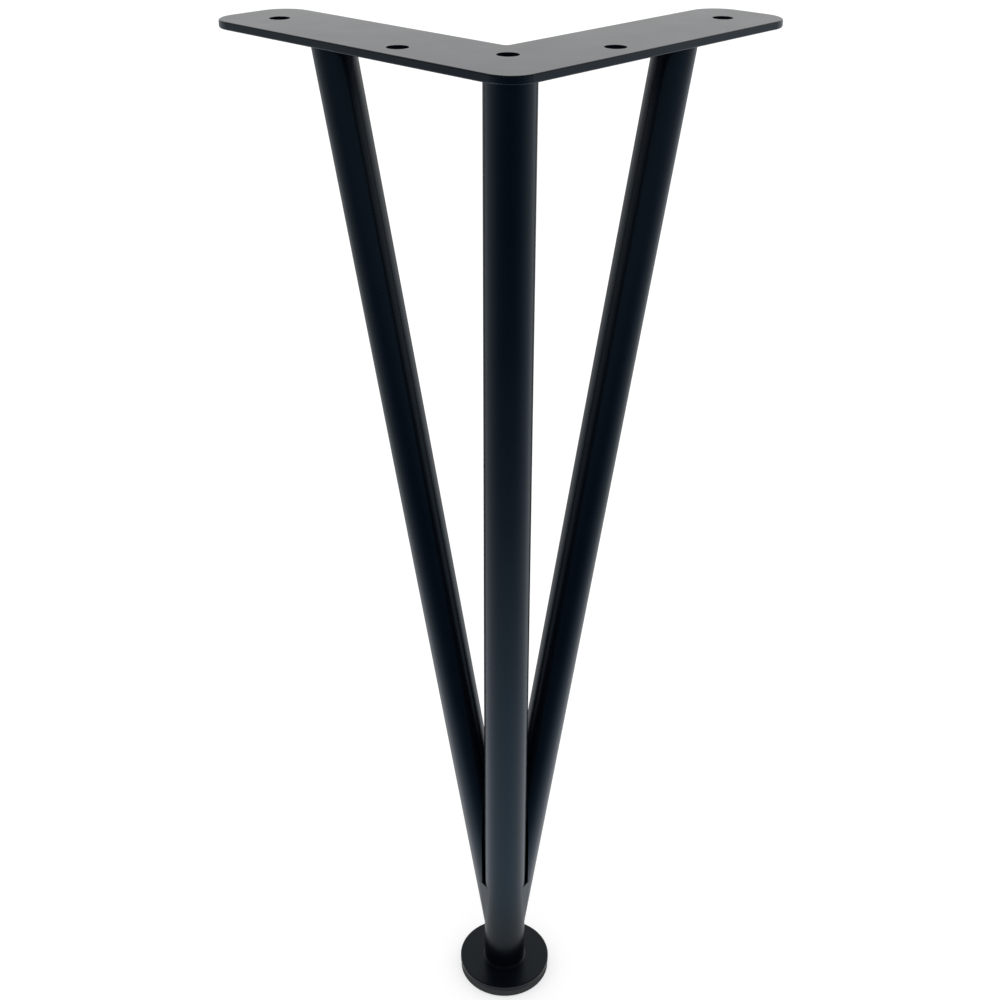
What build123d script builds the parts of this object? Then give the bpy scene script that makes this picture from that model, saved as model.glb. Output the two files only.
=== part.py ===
from build123d import *
from math import atan2, cos, radians, sin, sqrt
import os

# Tripod table leg: a welded steel leg with a right-angled top plate, one upright tube under the
# plate's corner, two slanted brace tubes and a round foot on a floor pad.
# Millimetres, +Z up. The origin is on the floor, on the upright tube's axis. The plate's corner
# points to -Y, its arms run to +X +Y and -X +Y, and the leg is mirrored about the plane X = 0.

# Overall height, floor to table
leg_height = 400.0

# Top plate, two equal arms at a right angle
plate_thickness = 3.0
arm_length = 160.0  # outer edge, from the corner's sharp point to the tip
arm_width = 40.0
tip_radius = 12.5
inner_corner_radius = 1.5
plate_edge_round = 0.6

# Screw holes, measured along an arm from the corner's sharp point and across it from the outer edge
screw_hole_d = 8.0
corner_hole_inset = 28.0  # from both outer edges
mid_hole_along = 64.0
mid_hole_across = 11.0
tip_hole_setback = 20.0  # back from the tip, in the middle of the arm

# Tubes
front_tube_d = 18.0
brace_tube_d = 16.0
tube_wall = 1.5
edge_land = 1.0  # plate that shows outside the front tube
brace_reach = 87.0  # front tube's axis to a brace's axis, under the plate
brace_meet_height = 20.0  # where the braces' axes cross the front tube's axis
cope_gap = 1.2  # between the front tube and a brace's coped end

# Foot, a steel disc on a glued-on floor pad
foot_d = 40.0
foot_disc_thickness = 2.5
foot_pad_thickness = 3.5
foot_pad_setback = 0.2  # pad's edge behind the disc's edge
foot_edge_chamfer = 0.3

# Welds
plate_weld_leg = 2.5
plate_weld_arc = 120.0  # degrees round the tube, on the side away from the plate's outer edge
seam_weld_radius = 1.8
seam_weld_start = 60.0  # degrees round a brace, from its outer side
seam_weld_end = 115.0
cope_weld_rise = 31.0  # top of the weld that closes a cope's gap, above the braces' meeting height
cope_flush_rise = 11.0  # where that weld starts to lie flush with both tubes
cope_flush_sink = 0.04  # flush face behind the line that touches both tubes
cope_flush_depth = 2.0
cope_flush_sections = 7
foot_weld_leg = 0.8

# Worked out from the sizes above
root_two = sqrt(2.0)
right = 1
left = -1
on_base = (Align.CENTER, Align.CENTER, Align.MIN)
plate_underside = leg_height - plate_thickness
foot_top = foot_pad_thickness + foot_disc_thickness
front_radius = front_tube_d / 2
brace_radius = brace_tube_d / 2
tube_inset = front_radius + edge_land  # tubes' axes to the plate's outer edges
brace_rise = plate_underside - brace_meet_height
brace_tilt = atan2(brace_reach, brace_rise)


def on_arm(along, across, side):
    """Plan position of a point on the right or left arm."""
    x = side * (along - across) / root_two
    y = (along + across) / root_two - tube_inset * root_two
    return x, y


def plate_outline():
    """The plate in plan, with its corners rounded."""
    corner = on_arm(0, 0, right)
    inner_corner = on_arm(arm_width, arm_width, right)
    right_tip = [on_arm(arm_length, 0, right), on_arm(arm_length, arm_width, right)]
    left_tip = [on_arm(arm_length, arm_width, left), on_arm(arm_length, 0, left)]
    face = make_face(Polyline(corner, *right_tip, inner_corner, *left_tip, close=True))
    radii = {corner: tube_inset, inner_corner: inner_corner_radius}
    radii.update({point: tip_radius for point in right_tip + left_tip})
    for point, radius in radii.items():
        face = fillet(face.vertices().sort_by_distance(point)[0], radius)
    return face


def screw_hole_places():
    """Plan positions of the five screw holes."""
    places = [on_arm(corner_hole_inset, corner_hole_inset, right)]
    for side in (right, left):
        places.append(on_arm(mid_hole_along, mid_hole_across, side))
        places.append(on_arm(arm_length - tip_hole_setback, arm_width / 2, side))
    return places


def mounting_plate():
    """Laser-cut plate with deburred edges and plain screw holes."""
    plate = extrude(Pos(0, 0, plate_underside) * plate_outline(), plate_thickness)
    layers = plate.edges().filter_by(Axis.Z, reverse=True).group_by(Axis.Z)
    plate = fillet(layers[0] + layers[-1], plate_edge_round)
    drill = Cylinder(screw_hole_d / 2, 2 * plate_thickness)
    return plate - [Pos(x, y, leg_height) * drill for x, y in screw_hole_places()]


def front_rod(radius):
    """Upright cylinder from the foot to the plate."""
    return Pos(0, 0, foot_top) * Cylinder(radius, plate_underside - foot_top, align=on_base)


def brace_rod(radius, side):
    """Slanted cylinder from the front tube's axis to the plate's underside, where it is cut level."""
    lean = (side * brace_reach / root_two, brace_reach / root_two, brace_rise)
    axis = Plane(origin=(0, 0, brace_meet_height), z_dir=lean)
    length = brace_rise / cos(brace_tilt) + brace_tube_d
    rod = axis * Cylinder(radius, length, align=on_base)
    return split(rod, Plane.XY.offset(plate_underside), keep=Keep.BOTTOM)


def front_tube():
    """Upright tube, square at both ends."""
    return front_rod(front_radius) - front_rod(front_radius - tube_wall)


def brace_wall():
    """Right brace's tube before it is coped, mitred against the left brace."""
    wall = brace_rod(brace_radius, right) - brace_rod(brace_radius - tube_wall, right)
    return split(wall, Plane.YZ, keep=Keep.TOP)


def brace_tube():
    """Right brace, coped round the front tube with a gap."""
    return brace_wall() - front_rod(front_radius + cope_gap)


def foot_disc():
    """Flat round foot with both rims broken."""
    disc = Pos(0, 0, foot_pad_thickness) * Cylinder(foot_d / 2, foot_disc_thickness, align=on_base)
    return chamfer(disc.edges().filter_by(GeomType.CIRCLE), foot_edge_chamfer)


def foot_pad():
    """Floor pad under the disc, with its lower rim broken."""
    pad = Cylinder(foot_d / 2 - foot_pad_setback, foot_pad_thickness, align=on_base)
    return chamfer(pad.edges().filter_by(GeomType.CIRCLE).sort_by(Axis.Z)[0], foot_edge_chamfer)


def plate_weld(x, y, radius, inward, rod):
    """Fillet weld in the corner between a tube and the plate, on the tube's inward side."""
    section = Polyline(
        (radius - tube_wall, 0, 0),
        (radius + plate_weld_leg, 0, 0),
        (radius, 0, -plate_weld_leg),
        (radius - tube_wall, 0, -plate_weld_leg),
        close=True,
    )
    run = revolve(make_face(section), Axis.Z, plate_weld_arc)
    first_end = Rot(0, 0, inward - plate_weld_arc / 2)
    return Pos(x, y, plate_underside) * first_end * run - rod


def plate_welds():
    """One run for each tube, in plan angles from +X."""
    runs = [plate_weld(0, 0, front_radius, 90, front_rod(front_radius))]
    for side in (right, left):
        x = side * brace_reach / root_two
        y = brace_reach / root_two
        inward = 90 + side * 45
        runs.append(plate_weld(x, y, brace_radius, inward, brace_rod(brace_radius, side)))
    return Compound([run.solid() for run in runs])


def seam_point(turn):
    """Point of the line where the braces meet, at an angle round a brace from its outer side."""
    outward = brace_radius * cos(radians(turn))
    across = brace_radius * sin(radians(turn))
    along = (across - outward * cos(brace_tilt)) / sin(brace_tilt)
    height = brace_meet_height + along * cos(brace_tilt) - outward * sin(brace_tilt)
    return Vector(0, across * root_two, height)


def brace_seam_weld():
    """Weld in the groove between the braces, behind the front tube."""
    middle = (seam_weld_start + seam_weld_end) / 2
    path = ThreePointArc(seam_point(seam_weld_start), seam_point(middle), seam_point(seam_weld_end))
    bead = sweep(Plane(origin=path @ 0, z_dir=path % 0) * Circle(seam_weld_radius), path=path)
    bead -= [brace_rod(brace_radius, side) for side in (right, left)]
    return bead - front_rod(front_radius)


def flush_section(height):
    """Strip of a level section, along the line that touches the front tube and the right brace."""
    reach = (height - brace_meet_height) * brace_reach / brace_rise
    brace_along = brace_radius / cos(brace_tilt)
    excess = front_radius**2 - brace_radius**2
    product = front_radius * reach
    root = sqrt(product**2 - (reach**2 + brace_radius**2 - brace_along**2) * excess)
    lean_out = excess / (product + root)
    lean_across = sqrt(1 - lean_out**2)
    support = front_radius - reach * lean_out
    front_touch = Vector(front_radius * lean_out, front_radius * lean_across)
    brace_touch = Vector(reach + brace_along**2 * lean_out / support, brace_radius**2 * lean_across / support)
    face_sink = Vector(lean_out, lean_across) * cope_flush_sink
    back_sink = Vector(lean_out, lean_across) * cope_flush_depth
    strip = Polyline(
        front_touch - face_sink,
        brace_touch - face_sink,
        brace_touch - back_sink,
        front_touch - back_sink,
        close=True,
    )
    outer_side = Plane(origin=(0, 0, height), x_dir=(1, 1, 0), z_dir=(0, 0, -1))
    return outer_side * make_face(strip)


def cope_weld():
    """Weld that closes the lower part of the right brace's cope, flush on the leg's outer side."""
    top = brace_meet_height + cope_weld_rise
    fill = brace_wall() & front_rod(front_radius + cope_gap)
    fill = split(fill - front_rod(front_radius), Plane.XY.offset(top), keep=Keep.BOTTOM)
    step = (cope_weld_rise - cope_flush_rise) / (cope_flush_sections - 1)
    sections = [flush_section(top - step * i) for i in range(cope_flush_sections)]
    flush = loft(sections, ruled=True)
    return fill + (flush - front_rod(front_radius) - brace_rod(brace_radius, right))


def foot_weld():
    """Fillet weld all round the front tube's foot."""
    section = Polyline(
        (front_radius, 0, foot_top),
        (front_radius + foot_weld_leg, 0, foot_top),
        (front_radius, 0, foot_top + foot_weld_leg),
        close=True,
    )
    return revolve(make_face(section), Axis.Z)


right_brace = brace_tube()
right_cope_weld = cope_weld().solid()
nodes = {
    "mounting_plate": mounting_plate(),
    "front_tube": front_tube(),
    "left_brace_tube": mirror(right_brace, about=Plane.YZ),
    "right_brace_tube": right_brace,
    "foot_disc": foot_disc(),
    "foot_pad": foot_pad(),
    "plate_welds": plate_welds(),
    "brace_seam_weld": brace_seam_weld(),
    "cope_welds": Compound([right_cope_weld, mirror(right_cope_weld, about=Plane.YZ)]),
    "foot_weld": foot_weld(),
}
os.makedirs("parts", exist_ok=True)
for name, shape in nodes.items():
    export_step(shape, f"parts/{name}.step")
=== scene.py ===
import math

import bpy
from mathutils import Matrix, Vector


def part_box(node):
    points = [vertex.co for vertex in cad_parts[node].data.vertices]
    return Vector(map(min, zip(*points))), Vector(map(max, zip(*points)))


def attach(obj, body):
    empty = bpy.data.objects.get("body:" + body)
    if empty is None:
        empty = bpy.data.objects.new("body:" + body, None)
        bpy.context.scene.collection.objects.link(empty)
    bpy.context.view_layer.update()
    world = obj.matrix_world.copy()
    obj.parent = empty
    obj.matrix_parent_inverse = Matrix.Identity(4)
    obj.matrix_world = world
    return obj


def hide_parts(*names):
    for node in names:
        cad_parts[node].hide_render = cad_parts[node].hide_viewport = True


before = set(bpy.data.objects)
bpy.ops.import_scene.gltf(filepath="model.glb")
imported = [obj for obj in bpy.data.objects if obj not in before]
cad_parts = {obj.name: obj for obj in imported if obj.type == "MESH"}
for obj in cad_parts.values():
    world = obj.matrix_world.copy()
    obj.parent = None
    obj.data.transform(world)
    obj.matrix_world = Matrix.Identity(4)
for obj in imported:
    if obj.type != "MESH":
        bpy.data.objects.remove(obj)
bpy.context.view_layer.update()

# Tripod table leg: finishes, weld beads, floor, light and camera. Metres, in the frame of the CAD model.

# Sizes that the beads follow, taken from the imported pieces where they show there
plate_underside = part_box("mounting_plate")[0].z
foot_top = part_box("foot_disc")[1].z
front_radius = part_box("front_tube")[1].x
brace_radius = 0.008
brace_reach = 0.087
brace_meet_height = 0.020
plate_weld_leg = 0.0025
plate_weld_arc = math.radians(120)
seam_weld_leg = 0.0017
seam_weld_start = math.radians(60)
seam_weld_end = math.radians(115)
seam_weld_length = 0.036
foot_weld_leg = 0.0008

# Form of a bead
bead_embed = 0.00012  # how deep a bead's edges lie in the pieces that it joins
root_depth = 0.00036  # how deep its hidden root lies behind the corner
bead_fullness = 0.56  # 0.5 is a flat face, more bulges
bead_end_size = 0.25  # share of the leg that is left at an open end
bead_end_rate = 6  # growth of that share over the bead's whole length
ripple_depth = 0.07  # share of the leg
ripple_pitch = 0.0013
ripple_bow = 0.35  # how far a ripple bows forward, in ripples
fewest_ripples = 3
steps_per_ripple = 8
section_steps = 10
quarter_turn = math.radians(90)

# Black powder coat
coat_dark = (0.0004, 0.0014, 0.0034, 1)
coat_light = (0.0012, 0.0024, 0.0050, 1)
coat_tint = (0.78, 0.90, 1.0, 1)
coat_roughness = (0.240, 0.262)
coat_cloud = 0.018  # size of the slow changes in tone and gloss
peel_size = 0.0012
peel_height = 0.000007
grain_size = 0.0005
grain_height = 0.000002

# Floor pad
pad_dark = (0.030, 0.034, 0.037, 1)
pad_light = (0.046, 0.050, 0.053, 1)
pad_roughness = (0.72, 0.86)
pad_grain_size = 0.0006
pad_grain_height = 0.00003

# Stage
white = (1, 1, 1, 1)
ambient = 0.85
floor_half_width = 30
floor_drop = 0.0002  # below the pad, so that the two faces don't share a plane
floor_colour = (0.68, 0.68, 0.68, 1)
floor_glow = 0.50  # what the camera sees of the floor, besides its lit colour
contact_zone = (0.02, 0.07)  # distances from the leg between which its gloss stops seeing the floor itself

# Room that the gloss sees, by direction: x to the right, y from the front at -1 to the back at 1, z up
below_zone = (-0.94, -0.75)  # z between which the dark straight below ends
below_share = 0.05
floor_zone = (-0.695, -0.445)  # z between which the near floor becomes the far floor
wall_zone = (-0.16, 0.04)  # z between which the far floor becomes the walls
front_zone = (0.1, 0.6)  # y between which the front's ceiling becomes the back's
right_zone = (0.25, 0.85)  # x between which the far floor and the walls get lighter
right_floor_gain = 1.3
right_wall_gain = 1.6

# Tones of the floor and the walls, by direction y
near_floor = (
    (-1.0, (0.66, 0.90, 1.07)),
    (-0.28, (0.80, 0.90, 1.00)),
    (0.3, (0.96, 1.04, 1.14)),
    (0.65, (0.98, 1.04, 1.12)),
    (0.88, (0.60, 0.60, 0.60)),
    (1.0, (0.14, 0.14, 0.14)),
)
far_floor = (
    (-1.0, (0.01, 0.03, 0.07)),
    (-0.68, (0.05, 0.09, 0.15)),
    (-0.28, (0.21, 0.25, 0.30)),
    (0.3, (0.41, 0.46, 0.51)),
    (0.65, (0.56, 0.60, 0.64)),
    (0.88, (0.36, 0.36, 0.36)),
    (1.0, (0.26, 0.26, 0.26)),
)
far_wall = (
    (-0.8, (0.12, 0.19, 0.25)),
    (-0.3, (0.22, 0.23, 0.24)),
    (0.15, (0.46, 0.46, 0.46)),
    (0.6, (0.48, 0.48, 0.48)),
    (0.95, (0.90, 0.90, 0.90)),
)

# Shares of the walls' tones that are left towards the ceiling, by direction z
front_ceiling = ((0.12, (1, 1, 1)), (0.45, (0.1, 0.1, 0.1)))
back_ceiling = ((0.3, (1, 1, 1)), (0.72, (0.42, 0.42, 0.42)))

# Camera, fitted to the photograph's edges
camera_place = Vector((-0.01482, -0.43716, 0.48483))
camera_heading = math.radians(1.573)
camera_tilt = math.radians(28.855)
camera_roll = math.radians(-0.218)
camera_lens = 48.03
camera_sensor = 36.0
camera_near = 0.01
camera_far = 200


def node_tree(owner):
    """An owner's node tree, switched on."""
    owner.use_nodes = True
    return owner.node_tree


def add(tree, kind, inputs=None, **settings):
    """A new node, with its settings and its sockets' own values or links."""
    node = tree.nodes.new(kind)
    for key, value in settings.items():
        setattr(node, key, value)
    for key, value in (inputs or {}).items():
        if isinstance(value, bpy.types.NodeSocket):
            tree.links.new(value, node.inputs[key])
        else:
            node.inputs[key].default_value = value
    return node


def noise(tree, size, detail=2.0):
    """Noise of a real size on the surface, from 0 to 1."""
    place = add(tree, "ShaderNodeTexCoord").outputs["Object"]
    inputs = {"Vector": place, "Scale": 1 / size, "Detail": detail}
    return add(tree, "ShaderNodeTexNoise", inputs).outputs["Fac"]


def spread(tree, value, low, high, span=(0.3, 0.7), blend="LINEAR"):
    """A value's span, by default the middle of a noise, stretched from low to high."""
    inputs = {"Value": value, "From Min": span[0], "From Max": span[1], "To Min": low, "To Max": high}
    return add(tree, "ShaderNodeMapRange", inputs, interpolation_type=blend).outputs["Result"]


def fade(tree, value, zone, low=0, high=1):
    """A smooth change from low to high over a zone of a value."""
    return spread(tree, value, low, high, zone, "SMOOTHSTEP")


def multiply(tree, first, second):
    """Two values multiplied."""
    return add(tree, "ShaderNodeMath", {0: first, 1: second}, operation="MULTIPLY").outputs[0]


def larger(tree, first, second):
    """The larger of two values."""
    return add(tree, "ShaderNodeMath", {0: first, 1: second}, operation="MAXIMUM").outputs[0]


def mixed_colour(tree, factor, first, second, blend="MIX"):
    """Two colours mixed by a factor."""
    inputs = {0: factor, 6: first, 7: second}
    return add(tree, "ShaderNodeMix", inputs, data_type="RGBA", blend_type=blend).outputs[2]


def scaled_colour(tree, colour, share):
    """A colour multiplied by a value or another colour."""
    return mixed_colour(tree, 1.0, colour, share, "MULTIPLY")


def mixed_shader(tree, factor, first, second):
    """Two shaders mixed by a factor."""
    return add(tree, "ShaderNodeMixShader", {0: factor, 1: first, 2: second}).outputs["Shader"]


def background(tree, colour, strength=1.0):
    """Light of the world."""
    inputs = {"Color": colour, "Strength": strength}
    return add(tree, "ShaderNodeBackground", inputs).outputs["Background"]


def tones(tree, value, stops):
    """A value from -1 to 1 turned into a tone, by stops of value and tone."""
    share = spread(tree, value, 0, 1, (-1, 1))
    node = add(tree, "ShaderNodeValToRGB", {"Fac": share})
    elements = node.color_ramp.elements
    while len(elements) < len(stops):
        elements.new(0.5)
    for element, (place, tone) in zip(elements, stops):
        element.position = (place + 1) / 2
        element.color = (*tone, 1)
    return node.outputs["Color"]


def bump(tree, height, distance, normal=None):
    """Bump of a real height, on top of another one if given."""
    inputs = {"Height": height, "Distance": distance, "Strength": 1.0}
    if normal is not None:
        inputs["Normal"] = normal
    return add(tree, "ShaderNodeBump", inputs).outputs["Normal"]


def powder_coat():
    """Satin black powder coat with a fine orange peel and slow changes in gloss."""
    material = bpy.data.materials.new("satin_black_powder_coat")
    tree = node_tree(material)
    shader = tree.nodes["Principled BSDF"]
    cloud = noise(tree, coat_cloud, detail=3)
    peel = noise(tree, peel_size)
    grain = noise(tree, grain_size, detail=1)
    tree.links.new(mixed_colour(tree, cloud, coat_dark, coat_light), shader.inputs["Base Color"])
    tree.links.new(spread(tree, cloud, *coat_roughness), shader.inputs["Roughness"])
    shader.inputs["Specular Tint"].default_value = coat_tint
    normal = bump(tree, grain, grain_height, bump(tree, peel, peel_height))
    tree.links.new(normal, shader.inputs["Normal"])
    return material


def rubber():
    """Matt dark grey rubber with a fine grain."""
    material = bpy.data.materials.new("matt_grey_rubber")
    tree = node_tree(material)
    shader = tree.nodes["Principled BSDF"]
    grain = noise(tree, pad_grain_size, detail=3)
    tree.links.new(mixed_colour(tree, grain, pad_dark, pad_light), shader.inputs["Base Color"])
    tree.links.new(spread(tree, grain, *pad_roughness), shader.inputs["Roughness"])
    tree.links.new(bump(tree, grain, pad_grain_height), shader.inputs["Normal"])
    return material


def step_count(length):
    """Steps along a bead, a whole number of ripples."""
    return max(fewest_ripples, round(length / ripple_pitch)) * steps_per_ripple


def ring_run(centre, radius, start, end, along):
    """Corner points round an upright tube's end, with the directions out from the tube and along it."""
    steps = step_count(radius * (end - start))
    run = []
    for i in range(steps + 1):
        angle = start + (end - start) * i / steps
        outward = Vector((math.cos(angle), math.sin(angle), 0))
        run.append((centre + outward * radius, outward, along))
    return run


def brace_axes(side):
    """A brace's line, and the two directions across it: outward and sideways."""
    flat = Vector((side, 1, 0)).normalized()
    line = (flat * brace_reach + Vector((0, 0, plate_underside - brace_meet_height))).normalized()
    sideways = Vector((0, 0, 1)).cross(flat)
    return line, sideways.cross(line), sideways


def brace_end_run(side):
    """Corner points on the inner side of a brace's upper end, under the plate."""
    line, outward, sideways = brace_axes(side)
    foot = Vector((0, 0, brace_meet_height))
    steps = step_count(brace_radius * plate_weld_arc)
    run = []
    for i in range(steps + 1):
        angle = quarter_turn * side + plate_weld_arc * (i / steps - 0.5)
        normal = outward * math.cos(angle) + sideways * math.sin(angle)
        base = foot + normal * brace_radius
        point = base + line * ((plate_underside - base.z) / line.z)
        run.append((point, Vector((normal.x, normal.y, 0)).normalized(), -line))
    return run


def seam_run():
    """Corner points along the groove between the braces, behind the front tube."""
    line, outward, sideways = brace_axes(1)
    foot = Vector((0, 0, brace_meet_height))
    steps = step_count(seam_weld_length)
    points, normals = [], []
    for i in range(steps + 1):
        angle = seam_weld_start + (seam_weld_end - seam_weld_start) * i / steps
        normal = outward * -math.cos(angle) + sideways * math.sin(angle)
        base = foot + normal * brace_radius
        points.append(base - line * (base.x / line.x))
        normals.append(normal)
    run = []
    for i in range(steps + 1):
        ahead = points[min(i + 1, steps)] - points[max(i - 1, 0)]
        across = ahead.cross(normals[i]).normalized()
        if across.x < 0:
            across = -across
        run.append((points[i], across, Vector((-across.x, across.y, across.z))))
    return run


def bead_section(corner, along_a, along_b, size, ripples):
    """Points across a bead from one joined face to the other, with its hidden root last."""
    inward = -(along_a + along_b).normalized()
    section = []
    for j in range(section_steps + 1):
        t = j / section_steps
        arch = math.sin(math.pi * t)
        wave = abs(math.sin(math.pi * (ripples + ripple_bow * arch))) - 0.5
        bulge = 2 * t * (1 - t) * bead_fullness * (1 + ripple_depth * wave * arch)
        face = along_a * ((1 - t) ** 2 + bulge) + along_b * (t ** 2 + bulge)
        section.append(corner + face * size + inward * bead_embed)
    section.append(corner + inward * root_depth)
    return section


def bead_mesh(name, runs, leg, closed=False):
    """Rippled weld beads along runs of corner points, as one mesh."""
    points, faces = [], []
    ring = section_steps + 2
    for run in runs:
        first = len(points)
        last = len(run) - 1
        count = last if closed else last + 1
        for i in range(count):
            end_distance = min(i, last - i) / last
            taper = 1.0 if closed else min(1.0, bead_end_size + bead_end_rate * end_distance)
            points += bead_section(*run[i], leg * taper, i / steps_per_ripple)
        for i in range(last):
            here = first + i * ring
            there = first + (i + 1) % count * ring
            for j in range(ring):
                k = (j + 1) % ring
                faces.append((here + j, there + j, there + k, here + k))
        if not closed:
            faces.append(tuple(range(first, first + ring)))
            faces.append(tuple(reversed(range(first + last * ring, first + count * ring))))
    mesh = bpy.data.meshes.new(name)
    mesh.from_pydata(points, [], faces)
    mesh.validate()
    mesh.shade_smooth()
    return mesh


def add_piece(name, mesh, node, material):
    """A piece that rides on the leg and stands for a CAD node."""
    piece = bpy.data.objects.new(name, mesh)
    bpy.context.scene.collection.objects.link(piece)
    mesh.materials.append(material)
    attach(piece, "root")
    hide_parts(node)


def add_welds(material):
    """Beads in place of the plain weld solids."""
    up = Vector((0, 0, 1))
    plate_start = quarter_turn - plate_weld_arc / 2
    plate_end = quarter_turn + plate_weld_arc / 2
    plate_runs = [ring_run(up * plate_underside, front_radius, plate_start, plate_end, -up)]
    plate_runs += [brace_end_run(side) for side in (1, -1)]
    plate_beads = bead_mesh("plate_weld_beads", plate_runs, plate_weld_leg)
    add_piece("plate_weld_beads", plate_beads, "plate_welds", material)
    seam_bead = bead_mesh("brace_seam_bead", [seam_run()], seam_weld_leg)
    add_piece("brace_seam_bead", seam_bead, "brace_seam_weld", material)
    foot_run = ring_run(up * foot_top, front_radius, 0, math.tau, up)
    foot_bead = bead_mesh("foot_weld_bead", [foot_run], foot_weld_leg, closed=True)
    add_piece("foot_weld_bead", foot_bead, "foot_weld", material)


def dress_nodes(coat, pad):
    """Finishes on the CAD pieces."""
    for name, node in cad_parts.items():
        for slot in node.material_slots:
            slot.material = pad if name == "foot_pad" else coat


def make_floor():
    """Pale floor with the leg's shadow, near white to the camera. The gloss sees it next to the leg only."""
    w = floor_half_width
    z = -floor_drop
    mesh = bpy.data.meshes.new("floor")
    mesh.from_pydata([(-w, -w, z), (w, -w, z), (w, w, z), (-w, w, z)], [], [(0, 1, 2, 3)])
    floor = bpy.data.objects.new("floor", mesh)
    bpy.context.scene.collection.objects.link(floor)
    material = bpy.data.materials.new("pale_floor")
    tree = node_tree(material)
    tree.nodes.clear()
    rays = add(tree, "ShaderNodeLightPath").outputs
    place = add(tree, "ShaderNodeNewGeometry").outputs["Position"]
    distance = add(tree, "ShaderNodeVectorMath", {0: place}, operation="LENGTH").outputs["Value"]
    matt = add(tree, "ShaderNodeBsdfDiffuse", {"Color": floor_colour}).outputs["BSDF"]
    seen = larger(tree, rays["Is Camera Ray"], rays["Is Transmission Ray"])
    strength = multiply(tree, seen, floor_glow)
    glow = add(tree, "ShaderNodeEmission", {"Strength": strength}).outputs["Emission"]
    pale = add(tree, "ShaderNodeAddShader", {0: matt, 1: glow}).outputs["Shader"]
    clear = add(tree, "ShaderNodeBsdfTransparent").outputs["BSDF"]
    passed = multiply(tree, rays["Is Glossy Ray"], fade(tree, distance, contact_zone))
    add(tree, "ShaderNodeOutputMaterial", {"Surface": mixed_shader(tree, passed, pale, clear)})
    mesh.materials.append(material)


def room_tones(tree):
    """The room round the leg: a pale floor, darker far off and in front, and walls that darken upwards."""
    direction = add(tree, "ShaderNodeTexCoord").outputs["Generated"]
    flat = {0: direction, 1: (1, 1, 0)}
    level = add(tree, "ShaderNodeVectorMath", flat, operation="MULTIPLY").outputs["Vector"]
    level = add(tree, "ShaderNodeVectorMath", {0: level}, operation="NORMALIZE").outputs["Vector"]
    level_parts = add(tree, "ShaderNodeSeparateXYZ", {"Vector": level}).outputs
    right = level_parts["X"]
    back = level_parts["Y"]
    up = add(tree, "ShaderNodeSeparateXYZ", {"Vector": direction}).outputs["Z"]

    floor_gain = fade(tree, right, right_zone, 1, right_floor_gain)
    far = scaled_colour(tree, tones(tree, back, far_floor), floor_gain)
    floor = mixed_colour(tree, fade(tree, up, floor_zone), tones(tree, back, near_floor), far)
    floor = scaled_colour(tree, floor, fade(tree, up, below_zone, below_share, 1))

    ceilings = tones(tree, up, front_ceiling), tones(tree, up, back_ceiling)
    shares = mixed_colour(tree, fade(tree, back, front_zone), *ceilings)
    walls = scaled_colour(tree, tones(tree, back, far_wall), shares)
    walls = scaled_colour(tree, walls, fade(tree, right, right_zone, 1, right_wall_gain))
    return mixed_colour(tree, fade(tree, up, wall_zone), floor, walls)


def make_world():
    """White for the camera, soft even light on the leg, and the room's tones for its gloss."""
    world = bpy.data.worlds.new("studio")
    bpy.context.scene.world = world
    tree = node_tree(world)
    tree.nodes.clear()
    rays = add(tree, "ShaderNodeLightPath").outputs
    soft = background(tree, white, ambient)
    shine = background(tree, room_tones(tree))
    lit = mixed_shader(tree, rays["Is Glossy Ray"], soft, shine)
    seen = larger(tree, rays["Is Camera Ray"], rays["Is Transmission Ray"])
    shown = mixed_shader(tree, seen, lit, background(tree, white))
    add(tree, "ShaderNodeOutputWorld", {"Surface": shown})


def make_camera():
    """Camera at the photograph's place and angle."""
    data = bpy.data.cameras.new("camera")
    data.sensor_width = camera_sensor
    data.lens = camera_lens
    data.clip_start = camera_near
    data.clip_end = camera_far
    camera = bpy.data.objects.new("camera", data)
    bpy.context.scene.collection.objects.link(camera)
    ahead = Vector((
        math.sin(camera_heading) * math.cos(camera_tilt),
        math.cos(camera_heading) * math.cos(camera_tilt),
        -math.sin(camera_tilt),
    ))
    level = Vector((math.cos(camera_heading), -math.sin(camera_heading), 0))
    upright = level.cross(ahead)
    right = level * math.cos(camera_roll) - upright * math.sin(camera_roll)
    up = right.cross(ahead)
    turn = Matrix((right, up, -ahead)).transposed().to_4x4()
    camera.matrix_world = Matrix.Translation(camera_place) @ turn
    bpy.context.scene.camera = camera


coat = powder_coat()
dress_nodes(coat, rubber())
add_welds(coat)
make_floor()
make_world()
make_camera()
bpy.context.scene.view_settings.view_transform = "Standard"
